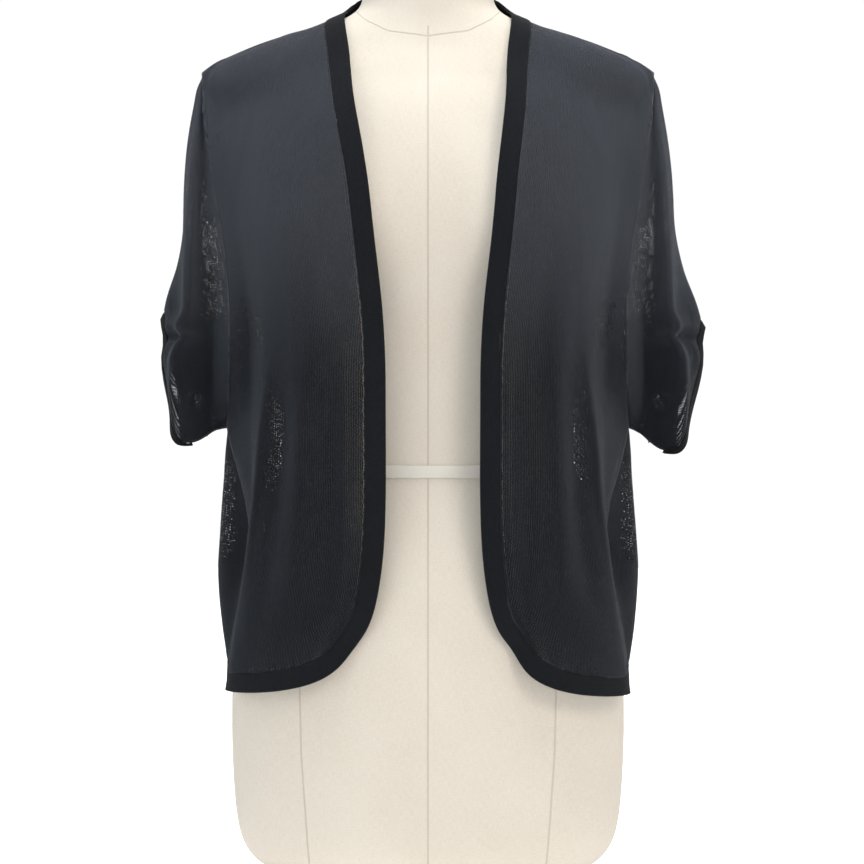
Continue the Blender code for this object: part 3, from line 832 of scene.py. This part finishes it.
backFolds = (
    (2.2, 13, ((-20, 640), (-16, 500), (-26, 330), (-22, 220))),
    (-2.4, 12, ((8, 600), (14, 450), (10, 300), (16, 210))),
    (2.0, 14, ((48, 620), (42, 480), (52, 340), (46, 215))),
    (-2.2, 11, ((-58, 610), (-52, 460), (-60, 320), (-54, 210))),
    (1.8, 12, ((-98, 600), (-104, 450), (-112, 320), (-106, 215))),
    (-1.8, 10, ((92, 600), (100, 460), (108, 330), (102, 215))),
    (1.4, 16, ((-120, 690), (-60, 655), (0, 650), (60, 655), (120, 690))),
)
backCreases = [
    crease("side", 4.0, 15, (34, 440), (31, 380), (29, 300), (28, 225), fade=0.25),
    *(crease("back", rise, half, *points) for rise, half, points in backFolds),
]

shoulderTip = {"across": 0.197, "height": 0.7085}

for side, word in ((-1, "Right"), (1, "Left")):
    node = word.lower()
    front = makeCloth("front" + word, "front_" + node, frontCut, knit, "knit", frontCreases(side))
    frontBand = makeCloth("frontBand" + word, "front_band_" + node, bandCut, band, "band")
    sleeve = makeCloth(
        "sleeve" + word, "sleeve_" + node, knitCut, knit, "knit", sleeveCreases(side),
        topTo=Vector((side * shoulderTip["across"], 0, shoulderTip["height"])))
    sleeveHem = makeCloth("sleeveHem" + word, "sleeve_hem_" + node, hemCut, band, "band")
    declareSheet(front, frontBand)
    declareSheet(sleeve, sleeveHem)
backPanel = makeCloth("backPanel", "back", backCut, knit, "knit", backCreases)
backHemBand = makeCloth("backHemBand", "back_hem_band", bandCut, band, "band", (), True)
neckBand = makeCloth("neckBand", "neck_band", neckCut, band, "band", (), True)
declareSheet(backPanel, backHemBand, neckBand)
print("cloth ready")


# Camera, floor and light

stageLook = {
    "distance": 2.6, "height": 0.394, "shift": 0.0035, "lens": 123.1, "sensor": 36.0,
    "floor": (0.9, 0.9, 0.9, 1), "floorPale": (0.95, 0.95, 0.95, 1),
    "floorGrain": 3.0, "floorGrainShare": 0.3,
    "floorGlow": (0.45, 0.45, 0.45, 1), "floorSeen": (1, 1, 1, 1),
    "floorRadius": 6.0, "floorSides": 96,
    "backdrop": 1.02, "ambient": 0.40,
}
lights = (
    ("keyLight", (1.3, -1.8, 1.7), (0, 0, 0.42), 1.0, 15, (1.0, 0.91, 0.82)),
    ("fillLight", (-1.7, -1.5, 0.9), (0, 0, 0.4), 1.2, 6, (0.84, 0.92, 1.0)),
    ("topLight", (0.0, -0.3, 2.2), (0, 0, 0.7), 0.9, 26, (0.95, 0.98, 1.0)),
    ("backLight", (0.3, 1.8, 1.7), (0, 0, 0.5), 1.2, 14, (1.0, 1.0, 1.0)),
)


def makeCamera(look):
    camera = bpy.data.cameras.new("camera")
    camera.lens, camera.sensor_width = look["lens"], look["sensor"]
    holder = bpy.data.objects.new("camera", camera)
    holder.location = (look["shift"], -look["distance"], look["height"])
    holder.rotation_euler = (math.radians(90), 0, 0)
    bpy.context.scene.collection.objects.link(holder)
    bpy.context.scene.camera = holder


def makeFloor(look):
    # it gives the form a dim light from below, and looks white to the camera
    material, tree, shader = newMaterial("floorCard", Roughness=0.9, Specular_IOR_Level=0.1)
    grain = noiseAt(tree, makeNode(tree, "ShaderNodeTexCoord", output=3), look["floorGrain"])
    colour = mixColour(grain * look["floorGrainShare"], look["floor"], look["floorPale"])
    feed(tree, colour, shader, "Base Color")
    direct = makeNode(tree, "ShaderNodeLightPath")
    feed(tree, mixColour(direct, look["floorGlow"], look["floorSeen"]), shader, "Emission Color")
    shader.inputs["Emission Strength"].default_value = 1.0
    shape = bmesh.new()
    bmesh.ops.create_circle(
        shape, cap_ends=True, segments=look["floorSides"], radius=look["floorRadius"])
    mesh = bpy.data.meshes.new("floor")
    shape.to_mesh(mesh)
    shape.free()
    mesh.materials.append(material)
    floor = bpy.data.objects.new("floor", mesh)
    bpy.context.scene.collection.objects.link(floor)


def makeLight(name, place, target, size, power, colour):
    light = bpy.data.lights.new(name, "AREA")
    light.shape, light.size, light.energy, light.color = "DISK", size, power, colour
    holder = bpy.data.objects.new(name, light)
    holder.location = place
    way = Vector(target) - Vector(place)
    holder.rotation_euler = way.to_track_quat("-Z", "Y").to_euler()
    bpy.context.scene.collection.objects.link(holder)


def makeWorld(look):
    world = bpy.data.worlds.new("studio")
    world.use_nodes = True
    tree = world.node_tree
    direct = makeNode(tree, "ShaderNodeLightPath")
    strength = direct * (look["backdrop"] - look["ambient"]) + look["ambient"]
    feed(tree, strength, tree.nodes["Background"], "Strength")
    tree.nodes["Background"].inputs["Color"].default_value = (1, 1, 1, 1)
    bpy.context.scene.world = world


makeCamera(stageLook)
makeFloor(stageLook)
makeWorld(stageLook)
for light in lights:
    makeLight(*light)
bpy.context.scene.view_settings.view_transform = "Standard"
print("stage ready")
